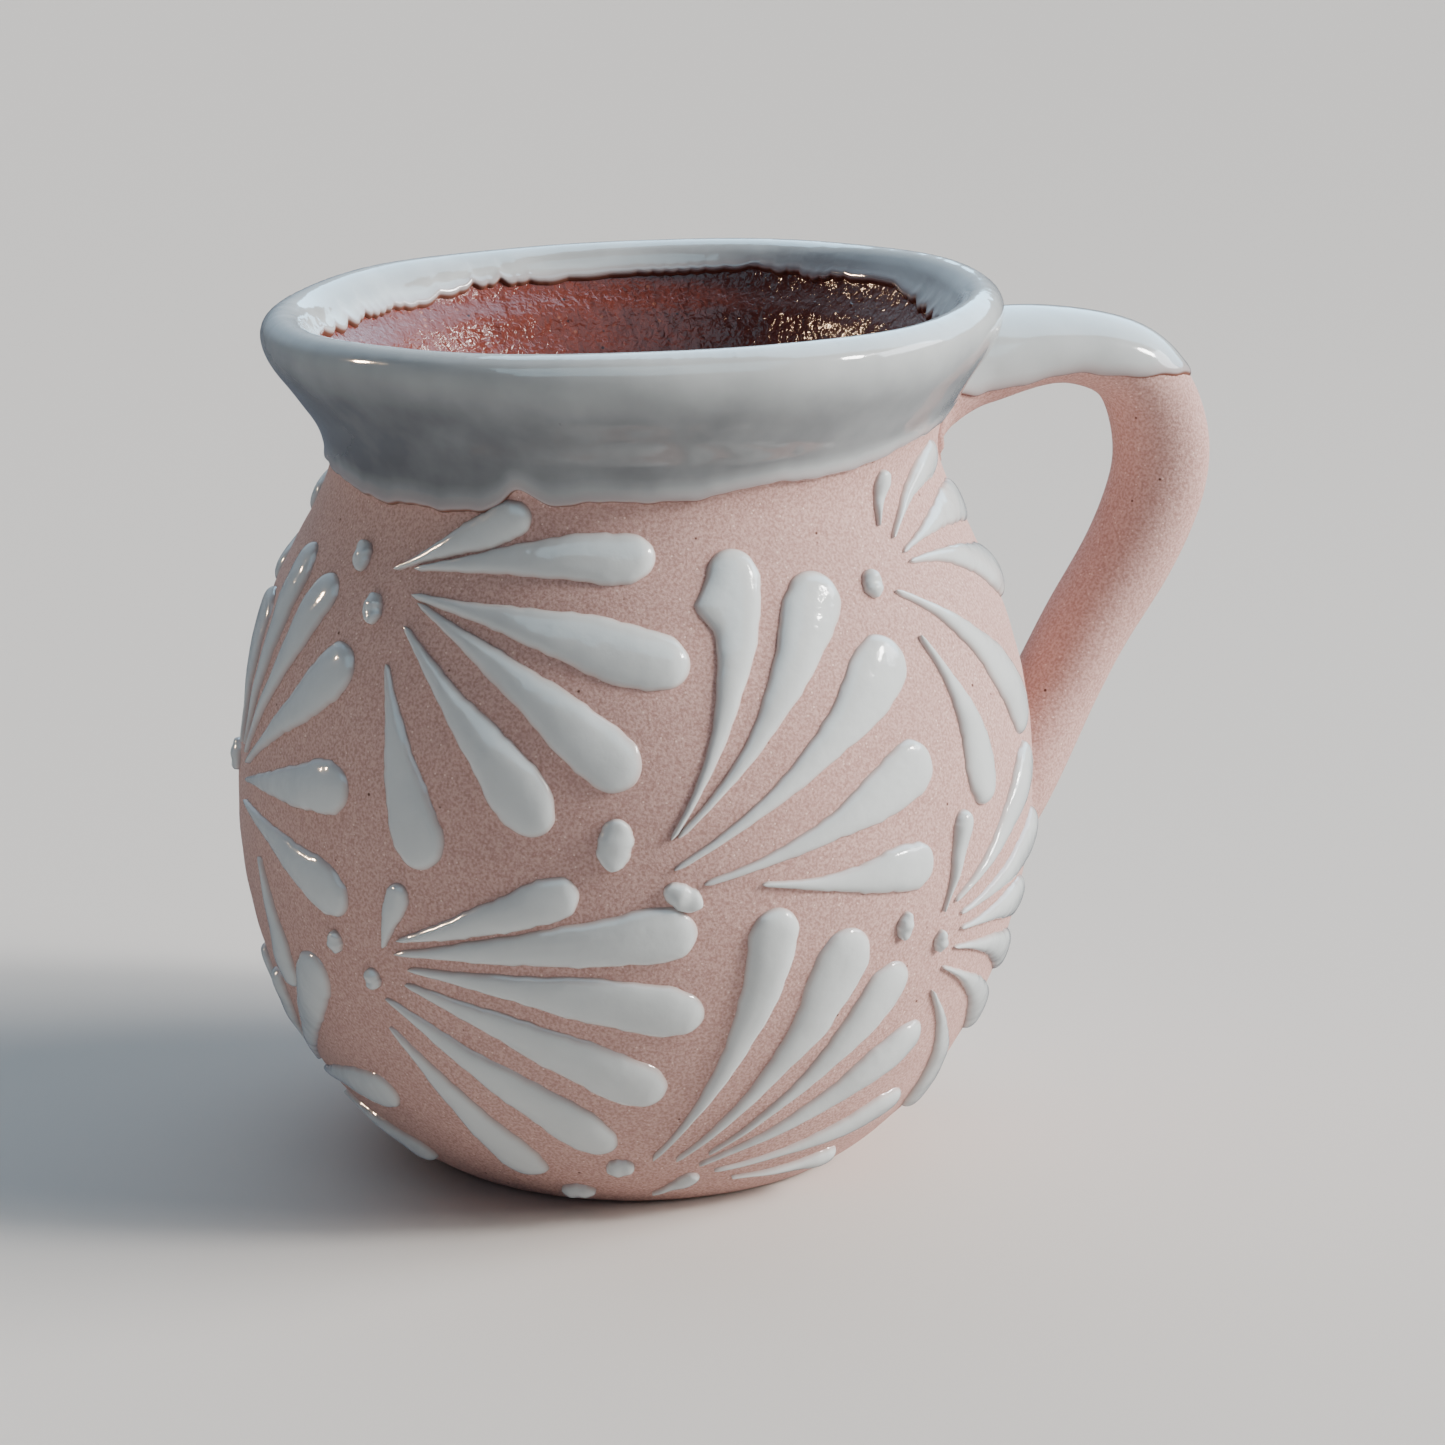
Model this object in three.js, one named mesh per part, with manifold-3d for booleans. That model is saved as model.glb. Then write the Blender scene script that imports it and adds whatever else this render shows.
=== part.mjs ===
// A small hand-thrown ceramic jug with a wide mouth, one pulled handle and raised slip decoration.
// Units are millimetres and +Z is up. The origin is the centre of the flat foot, and the handle
// points along +X. Each layer of the ware is its own solid: the fired clay wall, the sandy engobe
// outside, the dark glaze lining, the white glaze dipped over the rim, the handle, the white glaze
// on the handle, and the fans and dots of raised slip.
import * as THREE from 'three';
import { mergeVertices } from 'three/addons/utils/BufferGeometryUtils.js';
import Module from 'manifold-3d';

const wasm = await Module();
wasm.setup();

// Outline of the outer surface: foot, belly, neck and lip.
const FOOT_RADIUS = 27;
const BELLY_RADIUS = 48;
const BELLY_HEIGHT = 44;
const NECK_RADIUS = 36.2;
const NECK_HEIGHT = 86;
const LIP_RADIUS = 43.8;
const LIP_HEIGHT = 101.4;

// How far each cubic curve of the outline sets off in its end directions before it bends away.
const FOOT_RUN = [12.4, 7.3];
const BELLY_RUN_BELOW = 18.5;
const BELLY_RUN_ABOVE = 25.7;
const NECK_RUN_BELOW = 7.6;
const NECK_RUN_ABOVE = 6.5;
const LIP_RUN_BELOW = 4.3;

// Wall and layers.
const WALL = 5.2;
const FLOOR = 6;
const COAT = 0.6;
const GAP = 0.3;
const CLAY_DEPTH = COAT + GAP;
const FOOT_DISC_RADIUS = 24.9;
const ENGOBE_START = 0.9;
const LINING_TOP = 99;

// The jug was held askew when its neck was dipped, so the edge of the white glaze is a tilted
// plane: its height at the axis, and its rise per millimetre towards the handle and across.
const DIP_HEIGHT = 88.3;
const DIP_SLOPE_TO_HANDLE = 0.113;
const DIP_SLOPE_ACROSS = 0.025;
const DIP_REACH = 6;
const CUTTER_SIZE = 200;

// The rim leans up towards the handle.
const LEAN = 1.5;
const LEAN_START = 50;

// Handle: half thickness and half width of its oval section at shares of its length.
const HANDLE_SECTIONS = [
  { at: 0, thick: 7.6, wide: 8.6 },
  { at: 0.12, thick: 5.6, wide: 7.2 },
  { at: 0.26, thick: 4.6, wide: 6.4 },
  { at: 0.48, thick: 5.8, wide: 6.6 },
  { at: 0.8, thick: 5.4, wide: 6.4 },
  { at: 1, thick: 6.4, wide: 9.3 },
];
const HANDLE_DIP_HEIGHT = 90.8;

// Raised slip. A petal widens from its tip to where its head starts, and ends in a round head.
// Its crown is the flat top. Petals start this far from the middle of the drop at their heart.
const SLIP_HEIGHT = 1;
const SLIP_GAP = 0.5;
const PETAL_WIDTH = 7.5;
const TIP_SHARE = 0.16;
const TAPER_POWER = 1.4;
const HEAD_START = 0.74;
const HEAD_END_SHARE = 0.2;
const DROP_END_SHARE = 0.3;
const CROWN_SHARE = 0.6;
const DOT_LENGTH = 3.8;
const HEART_LENGTH = 4.6;
const HEART_EXTRA = 0.3;
const PETAL_START = 1.8;

// Facets, the distance within which vertices are one, and the halvings of a height search.
const MERGE_DISTANCE = 1e-4;
const HALVINGS = 30;
const SEGMENTS = 32;
const STEPS_PER_CURVE = 5;
const LIP_STEPS = 4;
const HANDLE_STEPS = 20;
const HANDLE_SIDES = 14;
const PETAL_STEPS = 4;

// Hearts and petal ends as [degrees round from the handle, height], in order round each fan.
// Each fan also has one dot beside its heart, as far round and up from it as dot says.
const FANS = {
  neck_left: {
    heart: [-150, 76],
    dot: [-12, 3],
    ends: [[-127, 85], [-105, 81], [-101, 69], [-109, 57], [-121, 52], [-138, 46]],
  },
  neck_right: {
    heart: [-60, 78],
    dot: [-8, -2],
    ends: [[-57, 87], [-34, 86], [-20, 79], [-19, 68.5], [-33.5, 54], [-51, 49.5]],
  },
  belly_left: {
    heart: [-184, 49],
    dot: [-8, 3],
    ends: [[-188, 70], [-179, 77], [-167, 75], [-156, 68], [-152, 53.5], [-152, 40], [-173, 28]],
  },
  belly_front: {
    heart: [-104, 48.5],
    dot: [-8, 2],
    ends: [[-92.5, 81], [-77.5, 77.5], [-66.5, 69], [-64, 57], [-64, 44.5]],
  },
  waist_left: {
    heart: [-145, 34],
    dot: [-9, -4],
    ends: [[-142, 43], [-117, 45], [-100.5, 40], [-99.5, 29.5], [-105, 19], [-113, 11], [-129, 8]],
  },
  waist_right: {
    heart: [-60, 34.5],
    dot: [-8, 3],
    ends: [[-57.5, 49], [-34.5, 51], [-26.5, 40], [-33, 33.5], [-31.5, 26], [-34.5, 20], [-42.5, 8]],
  },
  foot_left: {
    heart: [-190, 10],
    dot: [-8, 2],
    ends: [[-191, 25], [-178, 17], [-160, 31], [-152, 15], [-155, 7]],
  },
  foot_front: {
    heart: [-104, 8],
    dot: [-8, -2],
    ends: [[-89.5, 42], [-78, 38], [-69, 32], [-61.5, 23], [-57, 12], [-65, 8.5]],
  },
  foot_handle: {
    heart: [-20, 8],
    dot: [-8, -3],
    ends: [[-9, 27], [4, 29], [15, 28], [22, 21], [28, 14], [18, 9]],
  },
};

// Fans on the far side repeat the front ones, turned round the jug by this many degrees.
const REPEATS = [
  ['neck_back_left', 'neck_right', 174],
  ['neck_back_right', 'neck_left', 170],
  ['belly_back', 'belly_front', 170],
  ['waist_back_left', 'waist_right', 180],
  ['waist_back_right', 'waist_left', 170],
  ['foot_back', 'foot_front', 170],
];

const radians = THREE.MathUtils.degToRad;

const clay = new THREE.MeshStandardMaterial({ color: 0x9c5a42, roughness: 0.9, metalness: 0 });
const engobe = new THREE.MeshStandardMaterial({ color: 0xd9a08c, roughness: 0.85, metalness: 0 });
const lining = new THREE.MeshStandardMaterial({ color: 0x5a2318, roughness: 0.2, metalness: 0 });
const whiteGlaze = new THREE.MeshStandardMaterial({ color: 0xd8dbe0, roughness: 0.15, metalness: 0 });
const whiteSlip = new THREE.MeshStandardMaterial({ color: 0xd2d6dc, roughness: 0.2, metalness: 0 });

const jug = new THREE.Group();

function addPart(name, geometry, material) {
  const mesh = new THREE.Mesh(geometry, material);
  mesh.name = name;
  jug.add(mesh);
}

// Outline of the outer surface as points with outward normals, in the plane (radius, height).
function outlineOfWall() {
  const foot = new THREE.CubicBezierCurve(
    new THREE.Vector2(FOOT_RADIUS, 0),
    new THREE.Vector2(FOOT_RADIUS + FOOT_RUN[0], FOOT_RUN[1]),
    new THREE.Vector2(BELLY_RADIUS, BELLY_HEIGHT - BELLY_RUN_BELOW),
    new THREE.Vector2(BELLY_RADIUS, BELLY_HEIGHT),
  );
  const shoulder = new THREE.CubicBezierCurve(
    new THREE.Vector2(BELLY_RADIUS, BELLY_HEIGHT),
    new THREE.Vector2(BELLY_RADIUS, BELLY_HEIGHT + BELLY_RUN_ABOVE),
    new THREE.Vector2(NECK_RADIUS, NECK_HEIGHT - NECK_RUN_BELOW),
    new THREE.Vector2(NECK_RADIUS, NECK_HEIGHT),
  );
  const rim = new THREE.CubicBezierCurve(
    new THREE.Vector2(NECK_RADIUS, NECK_HEIGHT),
    new THREE.Vector2(NECK_RADIUS, NECK_HEIGHT + NECK_RUN_ABOVE),
    new THREE.Vector2(LIP_RADIUS, LIP_HEIGHT - LIP_RUN_BELOW),
    new THREE.Vector2(LIP_RADIUS, LIP_HEIGHT),
  );
  const outline = [];
  [foot, shoulder, rim].forEach((curve, index) => {
    for (let step = index === 0 ? 0 : 1; step <= STEPS_PER_CURVE; step += 1) {
      const t = step / STEPS_PER_CURVE;
      const tangent = curve.getTangent(t);
      outline.push({ point: curve.getPoint(t), normal: new THREE.Vector2(tangent.y, -tangent.x) });
    }
  });
  return outline;
}

const OUTLINE = outlineOfWall();

// A point of the wall at a place along the outline (0 to its last index), some depth inside.
function wallPoint(place, depth) {
  const low = Math.min(Math.floor(place), OUTLINE.length - 2);
  const share = place - low;
  const point = OUTLINE[low].point.clone().lerp(OUTLINE[low + 1].point, share);
  const normal = OUTLINE[low].normal.clone().lerp(OUTLINE[low + 1].normal, share);
  return point.addScaledVector(normal, -depth);
}

// The place along the outline where the wall, at that depth, has that height.
function placeAtHeight(height, depth) {
  let low = 0;
  let high = OUTLINE.length - 1;
  for (let halving = 0; halving < HALVINGS; halving += 1) {
    const middle = (low + high) / 2;
    if (wallPoint(middle, depth).y < height) {
      low = middle;
    } else {
      high = middle;
    }
  }
  return low;
}

// Wall points from one place up to another at a depth, through every outline point between.
function wallStretch(from, to, depth) {
  const points = [wallPoint(from, depth)];
  for (let place = Math.floor(from) + 1; place < to; place += 1) {
    points.push(wallPoint(place, depth));
  }
  points.push(wallPoint(to, depth));
  return points;
}

// The half round over the lip, from the outside to the inside, at a depth.
function lipArc(depth) {
  const radius = WALL / 2 - depth;
  const points = [];
  for (let step = 1; step < LIP_STEPS; step += 1) {
    const angle = (Math.PI * step) / LIP_STEPS;
    const x = LIP_RADIUS - WALL / 2 + radius * Math.cos(angle);
    points.push(new THREE.Vector2(x, LIP_HEIGHT + radius * Math.sin(angle)));
  }
  return points;
}

// Tilts the upper part of the jug up towards the handle.
function lean(geometry) {
  const position = geometry.attributes.position;
  for (let i = 0; i < position.count; i += 1) {
    const z = position.getZ(i);
    const share = Math.min(Math.max((z - LEAN_START) / (LIP_HEIGHT - LEAN_START), 0), 1);
    position.setZ(i, z + (LEAN * share * share * position.getX(i)) / LIP_RADIUS);
  }
  return geometry;
}

// Turns a closed profile round the jug's axis. Profiles run anticlockwise in (radius, height).
function turned(profile) {
  const geometry = new THREE.LatheGeometry(profile, SEGMENTS);
  geometry.rotateX(Math.PI / 2);
  return lean(geometry);
}

// Joins the profile's last point to its first for a shape that does not reach the axis.
function closedProfile(points) {
  return [...points, points[0].clone()];
}

// A closed solid through rings of points, each ring with the same number of points.
function loft(rings) {
  const sides = rings[0].length;
  const positions = rings.flat().flatMap((p) => [p.x, p.y, p.z]);
  const index = [];
  for (let ring = 0; ring < rings.length - 1; ring += 1) {
    for (let side = 0; side < sides; side += 1) {
      const a = ring * sides + side;
      const b = ring * sides + ((side + 1) % sides);
      index.push(a, b, a + sides, b, b + sides, a + sides);
    }
  }
  const last = (rings.length - 1) * sides;
  for (let side = 1; side < sides - 1; side += 1) {
    index.push(0, side + 1, side);
    index.push(last, last + side, last + side + 1);
  }
  const geometry = new THREE.BufferGeometry();
  geometry.setAttribute('position', new THREE.Float32BufferAttribute(positions, 3));
  geometry.setIndex(index);
  return geometry;
}

function toSolid(geometry) {
  const bare = geometry.clone();
  bare.deleteAttribute('normal');
  bare.deleteAttribute('uv');
  const merged = mergeVertices(bare, MERGE_DISTANCE);
  const vertProperties = Float32Array.from(merged.attributes.position.array);
  const triVerts = Uint32Array.from(merged.index.array);
  return new wasm.Manifold(new wasm.Mesh({ numProp: 3, vertProperties, triVerts }));
}

function toGeometry(solid) {
  const mesh = solid.getMesh();
  const geometry = new THREE.BufferGeometry();
  geometry.setAttribute('position', new THREE.Float32BufferAttribute(mesh.vertProperties, 3));
  geometry.setIndex(new THREE.Uint32BufferAttribute(mesh.triVerts, 1));
  geometry.computeVertexNormals();
  return geometry;
}

// Fired clay: the wall, the floor and the round lip under the glaze, open at the mouth.
function addClayBody() {
  const end = OUTLINE.length - 1;
  const inner = WALL - CLAY_DEPTH;
  const corner = placeAtHeight(FLOOR, inner);
  const profile = [
    new THREE.Vector2(0, 0),
    new THREE.Vector2(FOOT_DISC_RADIUS, 0),
    ...wallStretch(0, end, CLAY_DEPTH),
    ...lipArc(CLAY_DEPTH),
    ...wallStretch(corner, end, inner).reverse(),
    new THREE.Vector2(0, FLOOR),
  ];
  addPart('clay_body', turned(profile), clay);
}

// A block that fills everything above (side 1) or below (side -1) the dip's tilted edge.
function dipCutter(side, shift) {
  const block = new THREE.BoxGeometry(CUTTER_SIZE, CUTTER_SIZE, CUTTER_SIZE);
  block.translate(0, 0, (side * CUTTER_SIZE) / 2);
  const up = new THREE.Vector3(0, 0, 1);
  const tilted = new THREE.Vector3(-DIP_SLOPE_TO_HANDLE, -DIP_SLOPE_ACROSS, 1).normalize();
  block.applyQuaternion(new THREE.Quaternion().setFromUnitVectors(up, tilted));
  block.translate(0, 0, DIP_HEIGHT + shift);
  return toSolid(block);
}

// The sandy coat outside, from just above the foot to the edge of the white glaze.
function addEngobeCoat() {
  const start = placeAtHeight(ENGOBE_START, 0);
  const stop = placeAtHeight(DIP_HEIGHT + DIP_REACH, 0);
  const profile = closedProfile([
    ...wallStretch(start, stop, 0),
    ...wallStretch(start, stop, COAT).reverse(),
  ]);
  const coat = toSolid(turned(profile)).subtract(dipCutter(1, -GAP));
  addPart('engobe_coat', toGeometry(coat), engobe);
}

// The dark glaze inside, over the floor and up to the white band under the lip.
function addInteriorGlaze() {
  const outer = WALL - COAT;
  const stop = placeAtHeight(LINING_TOP - GAP, WALL);
  const underside = FLOOR + GAP;
  const floor = underside + COAT;
  const profile = [
    new THREE.Vector2(0, underside),
    ...wallStretch(placeAtHeight(underside, outer), stop, outer),
    ...wallStretch(placeAtHeight(floor, WALL), stop, WALL).reverse(),
    new THREE.Vector2(0, floor),
  ];
  addPart('interior_glaze', turned(profile), lining);
}

// The white glaze dipped over the rim, down to the neck outside and a short way down inside.
function addRimGlaze() {
  const end = OUTLINE.length - 1;
  const outside = placeAtHeight(DIP_HEIGHT - DIP_REACH, 0);
  const inside = placeAtHeight(LINING_TOP, WALL);
  const profile = closedProfile([
    ...wallStretch(outside, end, 0),
    ...lipArc(0),
    ...wallStretch(inside, end, WALL).reverse(),
    ...wallStretch(inside, end, WALL - COAT),
    ...lipArc(COAT).reverse(),
    ...wallStretch(outside, end, COAT).reverse(),
  ]);
  const glaze = toSolid(turned(profile)).subtract(dipCutter(-1, 0));
  addPart('rim_glaze', toGeometry(glaze), whiteGlaze);
}

// The filled outer form of the jug with clearance, used to cut whatever sits against it.
function clearanceOfJug() {
  const end = OUTLINE.length - 1;
  const profile = [
    new THREE.Vector2(0, -GAP),
    new THREE.Vector2(FOOT_RADIUS, -GAP),
    ...wallStretch(0, end, -GAP),
    ...lipArc(-GAP),
    new THREE.Vector2(0, LIP_HEIGHT + WALL / 2),
  ];
  return toSolid(turned(profile));
}

// Centre line of the handle in its own plane: out under the lip, round and down to the belly.
const HANDLE_LINE = new THREE.CatmullRomCurve3([
  new THREE.Vector3(33, 0, 90.5),
  new THREE.Vector3(42, 0, 93.2),
  new THREE.Vector3(53, 0, 94.8),
  new THREE.Vector3(61.5, 0, 93.4),
  new THREE.Vector3(67, 0, 90),
  new THREE.Vector3(70.2, 0, 80),
  new THREE.Vector3(66.8, 0, 69),
  new THREE.Vector3(60, 0, 58.5),
  new THREE.Vector3(54, 0, 48),
  new THREE.Vector3(46, 0, 36.5),
]);

// Half thickness and half width of the handle at a share of its length.
function handleSection(share) {
  const upper = Math.max(HANDLE_SECTIONS.findIndex((section) => section.at >= share), 1);
  const from = HANDLE_SECTIONS[upper - 1];
  const to = HANDLE_SECTIONS[upper];
  const between = THREE.MathUtils.smoothstep(share, from.at, to.at);
  return {
    thick: THREE.MathUtils.lerp(from.thick, to.thick, between),
    wide: THREE.MathUtils.lerp(from.wide, to.wide, between),
  };
}

// The handle's form, thicker all round by an extra amount, with both ends inside the jug.
function handleForm(extra) {
  const rings = [];
  for (let step = 0; step <= HANDLE_STEPS; step += 1) {
    const share = step / HANDLE_STEPS;
    const { thick, wide } = handleSection(share);
    const centre = HANDLE_LINE.getPointAt(share);
    const tangent = HANDLE_LINE.getTangentAt(share);
    const outward = new THREE.Vector3(-tangent.z, 0, tangent.x);
    const ring = [];
    for (let side = 0; side < HANDLE_SIDES; side += 1) {
      const angle = (2 * Math.PI * side) / HANDLE_SIDES;
      const point = centre.clone().addScaledVector(outward, (thick + extra) * Math.sin(angle));
      ring.push(point.add(new THREE.Vector3(0, (wide + extra) * Math.cos(angle), 0)));
    }
    rings.push(ring);
  }
  return toSolid(loft(rings));
}

function addHandle(clearance) {
  addPart('handle', toGeometry(handleForm(0).subtract(clearance)), engobe);
}

// White glaze on the handle: a thin sleeve round the part that stands above the dip line.
function addHandleGlaze(clearance) {
  const belowDip = new THREE.BoxGeometry(CUTTER_SIZE, CUTTER_SIZE, CUTTER_SIZE);
  belowDip.translate(0, 0, HANDLE_DIP_HEIGHT - CUTTER_SIZE / 2);
  const sleeve = handleForm(GAP + COAT)
    .subtract(handleForm(GAP))
    .subtract(clearance)
    .subtract(toSolid(belowDip));
  addPart('handle_glaze', toGeometry(sleeve), whiteGlaze);
}

// A point on the outside of the jug, lifted off it along the surface's normal.
function surfacePoint(angle, height, lift) {
  const flat = wallPoint(placeAtHeight(height, 0), -lift);
  return new THREE.Vector3(flat.x * Math.cos(angle), flat.x * Math.sin(angle), flat.y);
}

// The same point moved sideways over the surface.
function besidePoint(point, sideways, distance, lift) {
  const moved = point.clone().addScaledVector(sideways, distance);
  return surfacePoint(Math.atan2(moved.y, moved.x), moved.z, lift);
}

// Half width of a petal along its length, as a share: a thin tip and a round head.
function petalShare(t) {
  if (t > HEAD_START) {
    const roundness = 1 - ((t - HEAD_START) / (1 - HEAD_START)) ** 2;
    return Math.max(Math.sqrt(Math.max(roundness, 0)), HEAD_END_SHARE);
  }
  return TIP_SHARE + (1 - TIP_SHARE) * (t / HEAD_START) ** TAPER_POWER;
}

// Half width of a round drop along its length, as a share.
function dropShare(t) {
  return Math.max(Math.sqrt(1 - (2 * t - 1) ** 2), DROP_END_SHARE);
}

// One raised stroke of slip from start to end, each an [angle in degrees, height] pair.
function strokeSolid(start, end, width, rise, shareAt) {
  const rings = [];
  const small = 0.01;
  const at = (t) => {
    const angle = radians(THREE.MathUtils.lerp(start[0], end[0], t));
    return surfacePoint(angle, THREE.MathUtils.lerp(start[1], end[1], t), 0);
  };
  for (let i = 0; i <= PETAL_STEPS; i += 1) {
    const t = i / PETAL_STEPS;
    const point = at(t);
    const along = at(t + small).sub(at(t - small)).normalize();
    const outward = new THREE.Vector3(point.x, point.y, 0).normalize();
    const sideways = new THREE.Vector3().crossVectors(outward, along).normalize();
    const half = (width / 2) * shareAt(t);
    rings.push([
      besidePoint(point, sideways, -half, SLIP_GAP),
      besidePoint(point, sideways, half, SLIP_GAP),
      besidePoint(point, sideways, half * CROWN_SHARE, SLIP_GAP + rise),
      besidePoint(point, sideways, -half * CROWN_SHARE, SLIP_GAP + rise),
    ]);
  }
  return toSolid(loft(rings));
}

// A short round drop of slip.
function dropSolid(middle, length, rise) {
  const low = [middle[0], middle[1] - length / 2];
  const high = [middle[0], middle[1] + length / 2];
  return strokeSolid(low, high, length, rise, dropShare);
}

// The place that lies a distance over the surface from one place towards another.
function towards(from, to, distance) {
  const span = surfacePoint(radians(from[0]), from[1], 0)
    .distanceTo(surfacePoint(radians(to[0]), to[1], 0));
  const start = new THREE.Vector2(...from).lerp(new THREE.Vector2(...to), distance / span);
  return start.toArray();
}

// A fan is one body of slip: its petals run out from a drop at its heart.
function addFan(name, fan, turn) {
  const heart = [fan.heart[0] + turn, fan.heart[1]];
  let solid = dropSolid(heart, HEART_LENGTH, SLIP_HEIGHT + HEART_EXTRA);
  for (const [angle, height] of fan.ends) {
    const end = [angle + turn, height];
    const start = towards(heart, end, PETAL_START);
    solid = solid.add(strokeSolid(start, end, PETAL_WIDTH, SLIP_HEIGHT, petalShare));
  }
  addPart(`slip_fan_${name}`, lean(toGeometry(solid)), whiteSlip);
  const dot = [heart[0] + fan.dot[0], heart[1] + fan.dot[1]];
  const dotSolid = dropSolid(dot, DOT_LENGTH, SLIP_HEIGHT);
  addPart(`slip_dot_${name}`, lean(toGeometry(dotSolid)), whiteSlip);
}

addClayBody();
addEngobeCoat();
addInteriorGlaze();
addRimGlaze();

const clearance = clearanceOfJug();
addHandle(clearance);
addHandleGlaze(clearance);

for (const [name, fan] of Object.entries(FANS)) {
  addFan(name, fan, 0);
}
for (const [name, source, turn] of REPEATS) {
  addFan(name, FANS[source], turn);
}

export default jug;
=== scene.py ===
"""A small hand-thrown ceramic jug: sandy pink engobe, a glazed rim and handle, raised slip fans.

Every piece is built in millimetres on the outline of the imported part, and stored in metres.
"""
import functools
import math
import random

import bpy
import numpy as np
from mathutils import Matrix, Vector


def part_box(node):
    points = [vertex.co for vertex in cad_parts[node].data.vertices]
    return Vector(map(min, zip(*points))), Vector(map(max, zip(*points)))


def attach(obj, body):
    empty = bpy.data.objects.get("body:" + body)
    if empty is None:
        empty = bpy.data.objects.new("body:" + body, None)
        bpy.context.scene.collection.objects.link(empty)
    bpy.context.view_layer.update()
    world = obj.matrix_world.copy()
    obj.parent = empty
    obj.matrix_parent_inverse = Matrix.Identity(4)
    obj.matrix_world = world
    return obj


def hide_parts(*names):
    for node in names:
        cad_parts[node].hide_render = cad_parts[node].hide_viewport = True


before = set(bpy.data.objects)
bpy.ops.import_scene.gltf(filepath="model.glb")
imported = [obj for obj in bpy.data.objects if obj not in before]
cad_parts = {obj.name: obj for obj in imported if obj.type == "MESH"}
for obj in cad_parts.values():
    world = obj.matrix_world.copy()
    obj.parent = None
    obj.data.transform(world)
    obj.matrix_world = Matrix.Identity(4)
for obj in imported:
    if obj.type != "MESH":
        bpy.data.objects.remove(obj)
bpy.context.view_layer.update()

MM = 0.001
X, Y, Z = 0, 1, 2


def lower(node, axis):
    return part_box(node)[0][axis] / MM


def upper(node, axis):
    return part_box(node)[1][axis] / MM


# Outline of the jug, as the part has it.
WALL = 5.2
FOOT_RADIUS = 27
FOOT_DISC_RADIUS = 24.9
BELLY_RADIUS = upper("engobe_coat", Y)
BELLY_HEIGHT = 44
NECK_RADIUS = 36.2
NECK_HEIGHT = 86
LIP_RADIUS = upper("rim_glaze", Y)
LIP_HEIGHT = 101.4
FOOT_RUN = (12.4, 7.3)
BELLY_RUN_BELOW = 18.5
BELLY_RUN_ABOVE = 25.7
NECK_RUN_BELOW = 7.6
NECK_RUN_ABOVE = 6.5
LIP_RUN_BELOW = 4.3
COAT = 0.6
FLOOR_TOP = lower("interior_glaze", Z) + COAT
FLOOR_CORNER_HEIGHT = 18
FLOOR_CORNER_WIDTH = 17
FOOT_EDGE_HEIGHT = 2.4
FOOT_EDGE_BULGE = 2.3

# The inner wall ends this far below the centre of the lip, where its offset would fold over.
LIP_KINK = 0.25

# The rim leans up towards the handle, more and more from this height on.
LEAN = 1.5
LEAN_START = 50

# Edges of the white glaze: outside on the neck, inside under the lip, and round the handle.
DIP_HEIGHT = 88.3
DIP_RISE_TO_HANDLE = 3.4
DIP_RISE_ACROSS = 0.9
BAND_HEIGHT = 99.7
BAND_HIGHEST = 100.7
HANDLE_DIP_HEIGHT = 90.8

# How far each coat stands proud of the surface, how deep its edge and its underside lie below it,
# and how far the clay steps in under the coats between two heights.
GLAZE_THICK = 0.55
GLAZE_BURIED = 0.2
GLAZE_UNDERSIDE = 1.1
HANDLE_GLAZE_THICK = 0.36
HANDLE_GLAZE_BURIED = 0.15
HANDLE_GLAZE_DEEPEST = 0.7
HANDLE_GLAZE_REACH = 12
LINING_TUCK = 0.35
LINING_UNDERSIDE = 0.55
LINING_CENTRE = 0.5
CLAY_STEP = 0.62
CLAY_STEP_HEIGHTS = (90, 97)

# The side on which the white glaze is painted lighter as painted light, with painted shade towards the
# far side, and the distance from its edge at which "edge" reaches 1.
LIT_SIDE = math.radians(-40)
HANDLE_MILK = 0.9
EDGE_REACH = 10

# Facets of the fine meshes.
CURVE_STEPS = 90
CLAY_SIDES = 384
GLAZE_SIDES = 1080
LINING_SIDES = 256
HANDLE_SIDES = 72
HANDLE_ROWS = 220
HANDLE_GLAZE_SIDES = 150
HANDLE_GLAZE_ROWS = 260
HANDLE_LINE_STEPS = 400
DISC_STEPS = 40


def smooth(low, high, value):
    """0 at low, 1 at high and a smooth change between; low may be the larger number."""
    share = np.clip((value - low) / (high - low), 0, 1)
    return share * share * (3 - 2 * share)


def quarter_round(value, reach):
    """0 at 0, 1 from reach on, rising like a quarter of a circle."""
    return np.sqrt(np.clip(1 - (1 - np.clip(value / reach, 0, 1)) ** 2, 0, 1))


def bell(value, middle, width):
    return np.exp(-((value - middle) / width) ** 2)


# ---------------------------------------------------------------- the jug's skin

def bezier(a, b, c, d, steps):
    t = np.linspace(0, 1, steps)[:, None]
    a, b, c, d = (np.array(p, float) for p in (a, b, c, d))
    return a * (1 - t) ** 3 + 3 * b * t * (1 - t) ** 2 + 3 * c * t ** 2 * (1 - t) + d * t ** 3


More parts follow.
